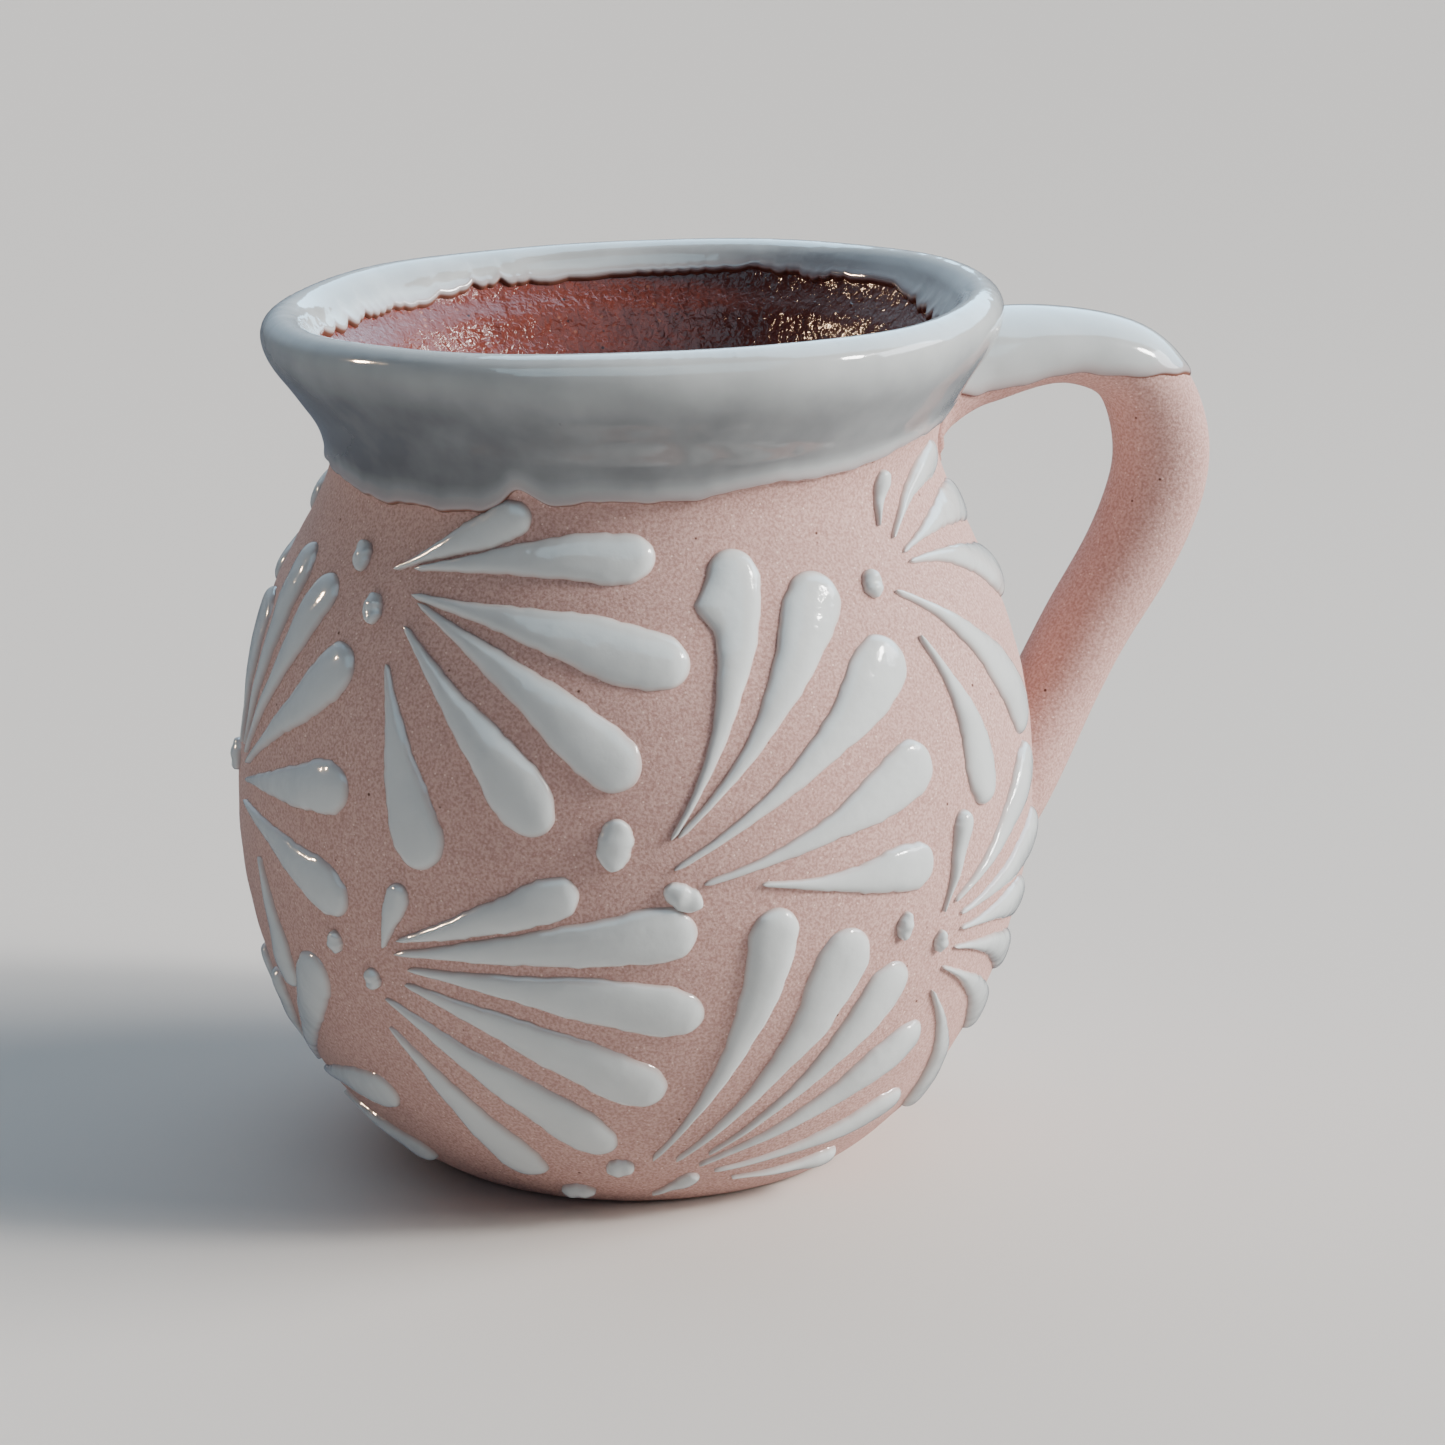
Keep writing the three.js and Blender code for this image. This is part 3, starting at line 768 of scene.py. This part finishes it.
def handle_surface(share, side):
    """Points of the handle, with a fillet where it meets the jug."""
    share, side = np.broadcast_arrays(share, side)
    centre = np.stack([
        np.interp(share, CENTRE_SHARE, CENTRE[:, 0]),
        np.zeros_like(share),
        np.interp(share, CENTRE_SHARE, CENTRE[:, 1]),
    ], axis=-1)
    way = [np.interp(share, CENTRE_SHARE, CENTRE_WAY[:, axis]) for axis in (0, 1)]
    uneven = 0.12 * np.sin(2 * side + 9 * share) + 0.1 * np.sin(3 * side - 14 * share + 1)
    thick = (section_size(share, 1) + uneven) * np.sin(side)
    wide = (section_size(share, 2) + uneven) * np.cos(side)
    reach = np.stack([-way[1] * thick, wide, way[0] * thick], axis=-1)
    size = np.linalg.norm(reach, axis=-1)[..., None]
    radius = fillet_radius(share, side)
    closeness = 1 - np.clip(outside_distance(centre + reach) / radius, 0, 1)
    fillet = radius * (1 - np.sqrt(np.clip(1 - closeness ** 2, 0, 1)))
    points = centre + reach * (1 + fillet[..., None] / size)
    sink = ROOT_SINK * smooth(ROOT_SINK_START, ROOT_SINK_END, outside_distance(points))
    away = np.stack([points[..., X], points[..., Y], np.zeros_like(share)], axis=-1)
    return points - sink[..., None] * away / np.linalg.norm(away, axis=-1)[..., None]


def root_shares(side):
    """Where, for each side of the handle, its two ends reach the root depth inside the wall."""
    share = np.linspace(0, 1, 500)[:, None]
    inside = outside_distance(handle_surface(share, side[None, :])) < -ROOT_DEPTH
    half = len(share) // 2
    first = np.array([np.nonzero(column[:half])[0].max(initial=0) for column in inside.T])
    last = np.array([half + np.nonzero(column[half:])[0].min(initial=half - 1) for column in inside.T])
    return share[first, 0], share[last, 0]


def add_handle(material):
    side = turned_columns(HANDLE_SIDES)
    first, last = root_shares(side)
    rows = np.linspace(0, 1, HANDLE_ROWS)[:, None]
    grid = handle_surface(first + (last - first) * rows, side[None, :])
    points, faces = capped_tube(grid, ring_centres(grid))
    add_piece("handle_clay", points, faces, material, ["handle"])


def handle_dip(points):
    """Height of the glaze edge round the handle."""
    x, y = points[..., X], points[..., Y]
    waves = 0.16 * np.sin(x / 2.1 + 0.6) + 0.1 * np.sin(x / 0.8 + y) + 0.2 * np.sin(y / 2.3 + x / 6)
    return HANDLE_DIP_HEIGHT + waves + 1.1 * bell(x, 54, 8) - 0.7 * bell(x, 41.5, 1.4)


def handle_glaze_lift(above):
    """How far the glaze stands off the handle, by the height above its edge."""
    bead = 0.08 * bell(above, 0.9, 0.7)
    proud = (HANDLE_GLAZE_THICK + bead + HANDLE_GLAZE_BURIED) * quarter_round(above, 0.7)
    buried = np.maximum(0.4 * above - HANDLE_GLAZE_BURIED, -HANDLE_GLAZE_DEEPEST)
    return np.where(above > 0, proud - HANDLE_GLAZE_BURIED, buried)


def add_handle_glaze(material):
    """The glazed upper part: a sleeve whose lower part is buried in the handle."""
    side = turned_columns(HANDLE_GLAZE_SIDES)
    first, _ = root_shares(side)
    reached = CENTRE[:, 1] > HANDLE_DIP_HEIGHT - HANDLE_GLAZE_REACH
    stop = CENTRE_SHARE[np.nonzero(reached)[0].max()]
    rows = np.linspace(0, 1, HANDLE_GLAZE_ROWS)[:, None]
    bare = handle_surface(first + (stop - first) * rows, side[None, :])
    above = bare[..., Z] - handle_dip(bare)
    grid = bare + handle_glaze_lift(above)[..., None] * tube_normals(bare)
    points, faces = capped_tube(grid, ring_centres(grid))
    at_poles = [0, 0]
    edge = np.concatenate([np.clip(above, 0, EDGE_REACH).ravel(), at_poles]) / EDGE_REACH
    values = {"edge": edge, "milk_and_shade": np.full_like(edge, HANDLE_MILK)}
    add_piece("handle_glaze_coat", points, faces, material, ["handle_glaze"], values)


# ---------------------------------------------------------------- raised slip

# Strokes of each fan: tip, end as (degrees round from the handle, height), width, sideways bend
# of the middle to the left of the way it runs. Dots: middle, width, length, tilt in degrees.
FANS = {
    "neck_left": {
        "tail": 1.35,
        "strokes": [
            ((-152, 77.6), (-127, 85.4), 5.0, 0.2),
            ((-147.6, 78), (-105, 80.7), 6.4, 1.0),
            ((-146.5, 75.3), (-100.6, 69), 7.4, 1.2),
            ((-145, 74.6), (-108.7, 57.2), 7.4, 1.8),
            ((-146.3, 72), (-120.6, 51.6), 7.2, 1.0),
            ((-148, 67.8), (-138, 46), 7.8, 0.3),
        ],
        "dots": [((-161.5, 78.2), 2.9, 4.0, -25), ((-154, 73.2), 2.9, 3.9, -20)],
    },
    "neck_right": {
        "tail": 1.6,
        "strokes": [
            ((-61.2, 81.2), (-56.7, 87.2), 3.4, 0.2),
            ((-58.6, 79.6), (-34, 86.3), 5.2, 1.6),
            ((-57.3, 77.9), (-20, 79), 5.8, 1.6),
            ((-56.7, 76.8), (-19, 68.5), 6.4, 2.2),
            ((-62.6, 74.4), (-33.5, 54), 7.2, 2.6),
            ((-60.5, 69.3), (-51.5, 48.6), 7.0, 1.6),
        ],
        "dots": [((-67, 75.7), 2.9, 3.4, 0)],
    },
    "belly_left": {
        "tail": 1.5,
        "strokes": [
            ((-185, 52.5), (-193, 70), 6.6, -0.8),
            ((-182.5, 52.8), (-180, 77.5), 5.4, -0.8),
            ((-181.5, 52), (-167, 75.5), 6.0, -0.8),
            ((-180.6, 51), (-155.5, 68.3), 7.4, -0.8),
            ((-180.5, 49), (-151.5, 53.4), 7.2, 0.2),
            ((-181, 46.4), (-151.5, 39.6), 6.8, 0.8),
            ((-174.5, 41), (-171, 25.4), 6.0, 0.6),
        ],
        "dots": [((-190, 50), 3.0, 4.0, 0)],
    },
    "belly_front": {
        "tail": 2.0,
        "strokes": [
            ((-104, 51), (-92.2, 81.3), 6.2, -2.4),
            ((-103, 51.2), (-77.2, 78), 6.8, -1.4),
            ((-103.6, 47.6), (-66.2, 69.6), 7.4, -1.0),
            ((-99.6, 45.8), (-63.6, 57), 7.2, -0.8),
            ((-91.6, 45.3), (-64, 44.6), 6.8, -0.6),
        ],
        "dots": [((-111.4, 50.5), 4.2, 6.0, 8), ((-102.4, 44.4), 3.2, 4.8, -62)],
    },
    "waist_left": {
        "tail": 1.15,
        "strokes": [
            ((-145.4, 35.8), (-141.6, 43.8), 4.2, 0.2),
            ((-143, 37), (-116.4, 45.4), 5.4, -0.4),
            ((-143.6, 35.3), (-100.4, 40.4), 6.6, 0.2),
            ((-141.7, 33.6), (-99.2, 29.4), 6.8, 1.0),
            ((-142.6, 31.6), (-104.8, 18.8), 7.0, 1.2),
            ((-146.6, 29.2), (-113, 10.8), 6.8, 0.8),
            ((-147.3, 25.3), (-128.5, 5.6), 6.4, 0.6),
        ],
        "dots": [((-154.7, 34.9), 2.2, 2.8, 0), ((-148.4, 31.4), 2.3, 2.7, 0)],
    },
    "waist_right": {
        "tail": 1.5,
        "strokes": [
            ((-61.3, 37.7), (-57.2, 49.2), 3.4, -0.4),
            ((-58.7, 38.4), (-33, 51.8), 6.2, -0.8),
            ((-57, 36.6), (-26, 41.2), 6.4, -0.4),
            ((-56.4, 34.6), (-32, 33.4), 5.6, 0.2),
            ((-57.2, 32.4), (-31, 25.2), 5.6, 0.8),
            ((-59.4, 30.4), (-34.5, 17.4), 5.8, 1.0),
            ((-60.6, 27.6), (-42.4, 7.8), 5.6, 0.8),
        ],
        "dots": [((-69, 37.5), 2.3, 3.4, 10), ((-61.2, 34.1), 2.0, 2.8, 0)],
    },
    "foot_left": {
        "tail": 1.3,
        "strokes": [
            ((-188, 13.6), (-190.5, 26), 5.6, 0.2),
            ((-185.6, 14.6), (-178.5, 25.6), 5.2, -0.2),
            ((-184, 12.6), (-160, 31.6), 7.2, -1.2),
            ((-180, 12.4), (-152, 14.8), 6.8, 0.6),
            ((-178, 9.6), (-154.4, 4.6), 4.6, 0.6),
        ],
        "dots": [((-196, 12), 2.6, 3.4, 0)],
    },
    "foot_front": {
        "tail": 2.0,
        "strokes": [
            ((-106, 9.6), (-89.2, 42.4), 6.0, -2.6),
            ((-101.8, 9.2), (-77.6, 38.6), 6.6, -2.4),
            ((-96, 9.8), (-68.4, 32.8), 5.8, -1.4),
            ((-97.4, 8.2), (-61, 23.4), 5.8, -1.0),
            ((-94, 6.8), (-56.4, 12.6), 5.4, -0.8),
            ((-89.5, 5), (-64.4, 5.2), 3.6, -0.4),
            ((-105.6, 3.0), (-97.2, 6.4), 3.4, -0.2),
        ],
        "dots": [((-111.8, 8.2), 3.0, 3.4, 70), ((-121.2, 3.4), 2.8, 4.2, 85)],
    },
    "foot_handle": {
        "tail": 1.9,
        "strokes": [
            ((-18.4, 11.4), (-10, 28.4), 6.0, -1.0),
            ((-16.6, 11), (3.4, 29.6), 6.2, -1.2),
            ((-15.6, 9.4), (15.4, 28.6), 6.0, -1.2),
            ((-15, 8.2), (22.6, 21), 5.8, -0.8),
            ((-14.6, 6.8), (28, 13), 5.4, -0.4),
            ((-13, 4.8), (18.4, 6), 4.0, -0.2),
        ],
        "dots": [((-27.8, 6.4), 2.6, 3.4, 60)],
    },
}

# Fans on the far side: the fan each one repeats, and how many degrees round the jug.
REPEATS = {
    "neck_back_left": ("neck_right", 174),
    "neck_back_right": ("neck_left", 170),
    "belly_back": ("belly_front", 170),
    "waist_back_left": ("waist_right", 180),
    "waist_back_right": ("waist_left", 170),
    "foot_back": ("foot_front", 170),
}

# Strokes whose head has a second lobe: (fan, stroke number): (side, share of length, size).
LOBES = {("belly_front", 0): (1, 0.8, 1.7), ("foot_front", 1): (-1, 0.66, 0.6)}

STROKE_STEPS = 46
STROKE_ACROSS = 17
STROKE_BURIED = 0.22
STROKE_UNDERSIDE = 0.5
STROKE_END_BURIED = 0.2
STROKE_HEAD = 0.86
LOBE_LENGTH = 0.055
THIN_BELOW = 0.55
DOT_RISE = 1.1


def stroke_outline(t, tail, blunt):
    """Half width along a stroke as a share: a thread that swells into a fat round head."""
    swell = 0.1 + 0.9 * (t / STROKE_HEAD) ** tail
    head = np.sqrt(np.clip(1 - t ** blunt, 0, 1))
    tip = np.sqrt(np.clip(t / 0.03, 0, 1))
    return swell * head * tip / STROKE_HEAD


def drop_outline(t):
    return np.sqrt(np.clip(1 - (2 * t - 1) ** 2, 0, 1))


def stroke_line(start, middle, end, t):
    """A curve through three (angle, run) places, the way to its left all along, and its length."""
    start, middle, end = (np.array(p, float) for p in (start, middle, end))
    control = 2 * middle - (start + end) / 2
    line = start * (1 - t) ** 2 + 2 * control * t * (1 - t) + end * t ** 2
    way = 2 * (control - start) * (1 - t) + 2 * (end - control) * t
    across = way[:, :1] * skin_radius(line[:, 1])[:, None]
    length = np.hypot(across, way[:, 1:])
    left = np.hstack([-way[:, 1:] / length, across / length])
    return line, left, float(length.mean())


def stroke_sides(t, width, share, calm, phases, lobe):
    """Half widths to the left and to the right, with a hand's slow waves and fine grit."""
    sides = []
    for number in range(2):
        wave = 0.05 * np.sin(9 * t + phases[number]) + 0.035 * np.sin(21 * t + phases[number + 2])
        grit = 0.07 * np.sin(57 * t + phases[number + 4]) + 0.05 * np.sin(93 * t + phases[number + 6])
        half = width / 2 * share * (1 + wave) + grit * np.minimum(share * 2, 1) * calm
        if lobe and (lobe[0] > 0) == (number == 0):
            half = half + lobe[2] * bell(t, lobe[1], LOBE_LENGTH)
        sides.append(np.maximum(half, 0.05))
    return sides


def laid_stroke(start, middle, end, width, rise, share_at, rng, lobe=None):
    """One stroke of slip as a closed shell of rings, and how thin it is at each point."""
    t = (1 - np.cos(np.linspace(0, math.pi, STROKE_STEPS))) / 2
    t = t[1:-1][:, None]
    line, left, length = stroke_line(start, middle, end, t)
    phases = [rng.uniform(0, 2 * math.pi) for _ in range(8)]
    calm = min(length / 25, 1)
    share = share_at(t)
    sides = stroke_sides(t, width, share, calm, phases, lobe)
    place = np.sin(np.linspace(math.pi / 2, -math.pi / 2, STROKE_ACROSS))[None, :]
    dome = (1 - np.abs(place) ** 2.3) ** 0.5
    high = rise * (0.38 + 0.62 * np.clip(share, 0, 1))
    sag = 1 + 0.1 * np.sin(7 * t + phases[0]) * place + 0.08 * np.sin(13 * t + phases[1])
    lift = (high * sag * quarter_round(1 - t, 0.06) + STROKE_BURIED) * dome - STROKE_BURIED
    lift = np.hstack([lift, np.full((len(t), 2), -STROKE_UNDERSIDE)])
    place = np.hstack([place, [[-0.7, 0.7]]])
    offset = np.where(place > 0, place * sides[0], place * sides[1])
    angle = line[:, :1] + left[:, :1] * offset / skin_radius(line[:, 1:])
    run = line[:, 1:] + left[:, 1:] * offset
    grid = on_skin(angle, run, lift)
    poles = np.vstack([on_skin(*point, -STROKE_END_BURIED) for point in (start, end)])
    thin = np.clip(1 - np.clip(lift, 0, None) / THIN_BELOW, 0, 1)
    thin_at_poles = [0.6, 0.3]
    return grid, poles, np.concatenate([thin.ravel(), thin_at_poles])


def on_jug(place, turn):
    """A place given in degrees and height as (angle, run along the skin)."""
    return math.radians(place[0] + turn), float(run_outside(place[1]))


def bent_middle(start, end, bend):
    """The middle of a stroke, moved to the left of its way by a bend in millimetres."""
    radius = float(skin_radius((start[1] + end[1]) / 2))
    across = (end[0] - start[0]) * radius
    along = end[1] - start[1]
    length = math.hypot(across, along)
    angle = (start[0] + end[0]) / 2 - along / length * bend / radius
    run = (start[1] + end[1]) / 2 + across / length * bend
    return angle, run


def fan_stroke(stroke, tail, turn, uneven, lobe, rng):
    """One stroke of a fan; uneven is 1 on a repeated fan, whose strokes land a little elsewhere."""
    tip, end, width, bend = stroke
    jitter = [uneven * rng.uniform(-1, 1) for _ in range(4)]
    start = on_jug((tip[0] + 0.4 * jitter[0], tip[1] + 0.3 * jitter[1]), turn)
    stop = on_jug((end[0] + 1.2 * jitter[2], end[1] + 0.8 * jitter[3]), turn)
    middle = bent_middle(start, stop, bend)
    tail = tail * rng.uniform(0.9, 1.1)
    reach = math.hypot((stop[0] - start[0]) * float(skin_radius(start[1])), stop[1] - start[1])
    blunt = math.log(0.19) / math.log(1 - 0.85 * width / reach)
    rise = rng.uniform(1.0, 1.3)
    width = width * rng.uniform(0.96, 1.04)
    outline = functools.partial(stroke_outline, tail=tail, blunt=blunt)
    return laid_stroke(start, middle, stop, width, rise, outline, rng, lobe)


def fan_dot(dot, turn, rng):
    place, width, length, tilt = dot
    centre = on_jug(place, turn)
    radius = float(skin_radius(centre[1]))
    swing = math.radians(tilt)
    step = (length / 2 * math.sin(swing) / radius, length / 2 * math.cos(swing))
    start = (centre[0] - step[0], centre[1] - step[1])
    stop = (centre[0] + step[0], centre[1] + step[1])
    return laid_stroke(start, centre, stop, width, DOT_RISE, drop_outline, rng)


def add_fan(name, source, turn, material):
    """A fan and its dots, drawn afresh by hand each time, so a repeat is never a copy."""
    rng = random.Random(name)
    fan = FANS[source]
    repeated = source != name
    shells = []
    for number, stroke in enumerate(fan["strokes"]):
        lobe = None if repeated else LOBES.get((source, number))
        shells.append(fan_stroke(stroke, fan["tail"], turn, int(repeated), lobe, rng))
    shells += [fan_dot(dot, turn, rng) for dot in fan["dots"]]
    points, faces, thin = [], [], []
    for grid, poles, thinness in shells:
        first = sum(len(p) for p in points)
        shell, shell_faces = capped_tube(grid, poles, first)
        points.append(shell)
        faces += shell_faces
        thin.append(thinness)
    nodes = [f"slip_fan_{name}", f"slip_dot_{name}"]
    values = {"thin": np.concatenate(thin)}
    add_piece(f"fan_{name}", np.vstack(points), faces, material, nodes, values)


# ---------------------------------------------------------------- studio

# The camera looks at the jug from 20 degrees to the left of its front, slightly from above.
TURN = math.radians(-20)
CAMERA_DISTANCE = 450
CAMERA_HEIGHT = 173.9
CAMERA_PITCH = math.radians(15.21)
CAMERA_ASIDE = 10.66
CAMERA_LENS = 95.4
SENSOR_WIDTH = 36

# Every light is placed as the camera sees it: millimetres to the right of the jug's axis, beyond
# it, and above the floor. Suns: place, spread in degrees, strength, colour.
JUG_MIDDLE = (0, 0, 60)
SUNS = {
    "key": ((570, -10, 330), 36, 4.9, (1.0, 0.95, 0.9)),
    "glint": ((540, -90, 380), 9, 2.0, (1.0, 0.98, 0.95)),
    "low_sun": ((-600, 60, 330), 6, 3, (1.0, 0.68, 0.42)),
}

# Panels: place, width and height, power, colour.
PANELS = {
    "window": ((600, 60, 330), (260, 160), 1.3, (0.85, 0.92, 1.0)),
    "sky_behind": ((500, 700, 1000), (1800, 1600), 45, (0.42, 0.74, 1.0)),
    "sky_before": ((0, -700, 900), (1600, 700), 7, (0.5, 0.82, 1.0)),
}

# The key only lights, and these others only shine in the glazes; the rest do both.
UNSEEN_IN_GLAZE = ("key",)
ONLY_IN_GLAZE = ("low_sun", "sky_behind", "sky_before")

# The surroundings: a dim level, and a smooth glow round one direction, by the cosine from it.
GLOW_PLACE = (-100, 640, 740)
GLOW_START = 0.55
GLOW_FULL = 0.92
DIM_LEVEL = (0.12, 0.135, 0.165, 1)
GLOW_LEVEL = (0.78, 1.0, 1.2, 1)

FLOOR_SIZE = 6
FLOOR_COLOUR = (0.70, 0.66, 0.62, 1)
FLOOR_ROUGHNESS = 0.9


def seen_from_camera(aside, away, height):
    """A point to the right of the jug's axis and beyond it, as the camera sees it, in metres."""
    forward = (-math.sin(TURN), math.cos(TURN))
    right = (math.cos(TURN), math.sin(TURN))
    return (
        (forward[0] * away + right[0] * aside) * MM,
        (forward[1] * away + right[1] * aside) * MM,
        height * MM,
    )


def add_camera():
    data = bpy.data.cameras.new("camera")
    data.lens = CAMERA_LENS
    data.sensor_width = SENSOR_WIDTH
    camera = bpy.data.objects.new("camera", data)
    camera.location = seen_from_camera(CAMERA_ASIDE, -CAMERA_DISTANCE, CAMERA_HEIGHT)
    camera.rotation_euler = (math.pi / 2 - CAMERA_PITCH, 0, TURN)
    bpy.context.scene.collection.objects.link(camera)
    bpy.context.scene.camera = camera


def add_light(name, kind, place, power, colour):
    """A light aimed at the middle of the jug; returns its data for the settings of its kind."""
    data = bpy.data.lights.new(name, kind)
    data.energy = power
    data.color = colour
    light = bpy.data.objects.new(name, data)
    light.location = seen_from_camera(*place)
    direction = Vector(seen_from_camera(*JUG_MIDDLE)) - light.location
    light.rotation_euler = direction.to_track_quat("-Z", "Y").to_euler()
    light.visible_camera = False
    light.visible_glossy = name not in UNSEEN_IN_GLAZE
    light.visible_diffuse = name not in ONLY_IN_GLAZE
    bpy.context.scene.collection.objects.link(light)
    return data


def add_lights():
    for name, (place, spread, strength, colour) in SUNS.items():
        sun = add_light(name, "SUN", place, strength, colour)
        sun.angle = math.radians(spread)
    for name, (place, size, power, colour) in PANELS.items():
        panel = add_light(name, "AREA", place, power, colour)
        panel.shape = "RECTANGLE"
        panel.size, panel.size_y = (side * MM for side in size)


def add_surroundings():
    world = bpy.data.worlds.new("studio")
    world.use_nodes = True
    nodes, links = world.node_tree.nodes, world.node_tree.links
    toward = nodes.new("ShaderNodeVectorMath")
    toward.operation = "DOT_PRODUCT"
    toward.inputs[1].default_value = Vector(seen_from_camera(*GLOW_PLACE)).normalized()
    links.new(nodes.new("ShaderNodeTexCoord").outputs["Generated"], toward.inputs[0])
    glow = nodes.new("ShaderNodeMapRange")
    glow.interpolation_type = "SMOOTHSTEP"
    glow.inputs["From Min"].default_value = GLOW_START
    glow.inputs["From Max"].default_value = GLOW_FULL
    links.new(toward.outputs["Value"], glow.inputs["Value"])
    sky = nodes.new("ShaderNodeMix")
    sky.data_type = "RGBA"
    dim, bright = colour_sockets(sky.inputs)
    dim.default_value = DIM_LEVEL
    bright.default_value = GLOW_LEVEL
    links.new(glow.outputs["Result"], sky.inputs["Factor"])
    links.new(colour_sockets(sky.outputs)[0], nodes["Background"].inputs["Color"])
    bpy.context.scene.world = world


def add_floor():
    """A pale floor that the glazes don't mirror."""
    bpy.ops.mesh.primitive_plane_add(size=FLOOR_SIZE)
    floor = bpy.context.object
    floor.name = "floor"
    floor.visible_glossy = False
    paper = bpy.data.materials.new("pale_paper")
    paper.use_nodes = True
    shader = paper.node_tree.nodes["Principled BSDF"]
    shader.inputs["Base Color"].default_value = FLOOR_COLOUR
    shader.inputs["Roughness"].default_value = FLOOR_ROUGHNESS
    shader.inputs["Specular IOR Level"].default_value = 0
    floor.data.materials.append(paper)


# ---------------------------------------------------------------- the jug

engobe = engobe_material()
white_glaze = white_glaze_material()
white_slip = slip_material()

add_clay(engobe)
add_lining(lining_material())
add_rim_glaze(white_glaze)
add_handle(engobe)
add_handle_glaze(white_glaze)
for fan_name in FANS:
    add_fan(fan_name, fan_name, 0, white_slip)
for fan_name, (source_name, turned_by) in REPEATS.items():
    add_fan(fan_name, source_name, turned_by, white_slip)

add_camera()
add_lights()
add_surroundings()
add_floor()

bpy.context.view_layer.update()
